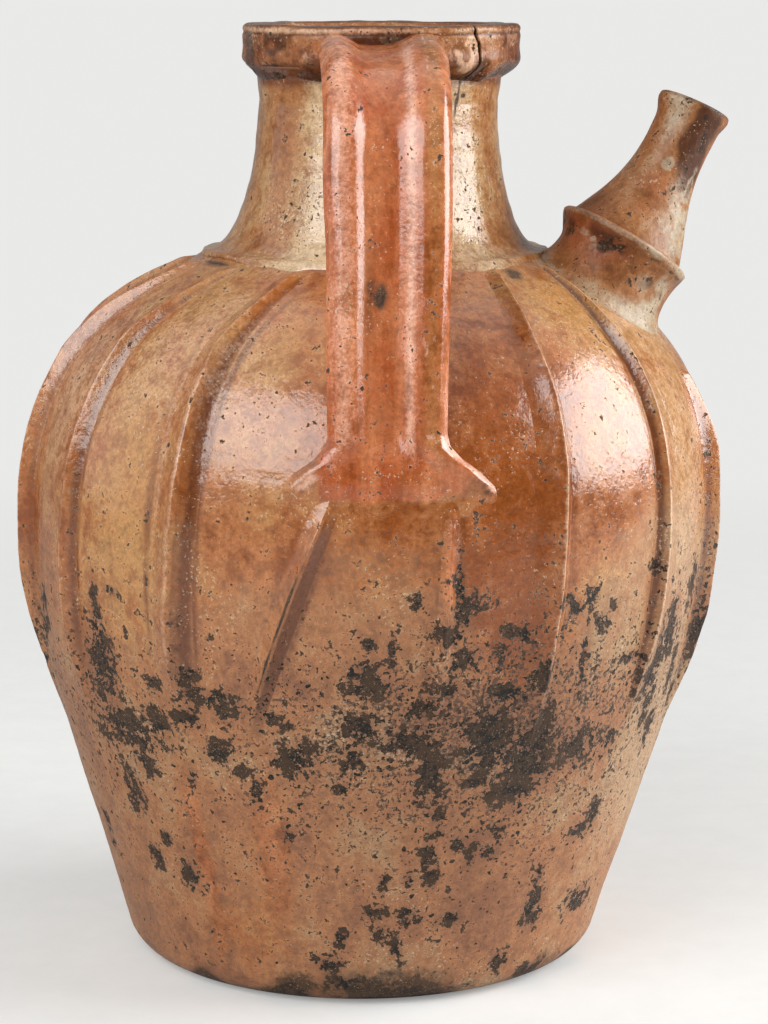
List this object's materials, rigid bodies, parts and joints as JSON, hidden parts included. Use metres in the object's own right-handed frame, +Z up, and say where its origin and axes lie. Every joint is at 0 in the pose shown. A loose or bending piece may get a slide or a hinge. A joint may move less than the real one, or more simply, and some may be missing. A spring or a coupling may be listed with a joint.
{
  "type": "oil pitcher",
  "caption": "Glazed earthenware oil pitcher with a round ribbed belly, a short neck with a thick lip, a strap handle and a slanted side spout.",
  "frame": {"origin": "centre of the flat foot, on the surface that the pitcher stands on", "axes": "+Z up; the strap handle is toward -Y and the spout toward +X"},
  "size_m": [0.2661, 0.2656, 0.35],
  "materials": {
    "body": "lead glaze over terracotta, gloss above and worn matte below",
    "neck": "gloss amber glaze with a pale worn patch",
    "rim_band": "gloss dark brown glaze",
    "handle": "gloss orange-brown glaze",
    "spout_socket": "gloss brown glaze",
    "spout_tube": "gloss brown glaze",
    "ribs": "gloss amber glaze, darker along the edges"
  },
  "bodies": {
    "root": {"body": "body", "neck": "neck", "rim_band": "rim_band", "handle": "handle", "spout_socket": "spout_socket", "spout_tube": "spout_tube", "rib_01": "ribs", "rib_02": "ribs", "rib_03": "ribs", "rib_04": "ribs", "rib_05": "ribs", "rib_06": "ribs", "rib_07": "ribs", "rib_08": "ribs", "rib_09": "ribs", "rib_10": "ribs", "rib_11": "ribs", "rib_12": "ribs", "rib_13": "ribs", "rib_14": "ribs", "rib_15": "ribs", "rib_16": "ribs"}
  },
  "joints": []
}
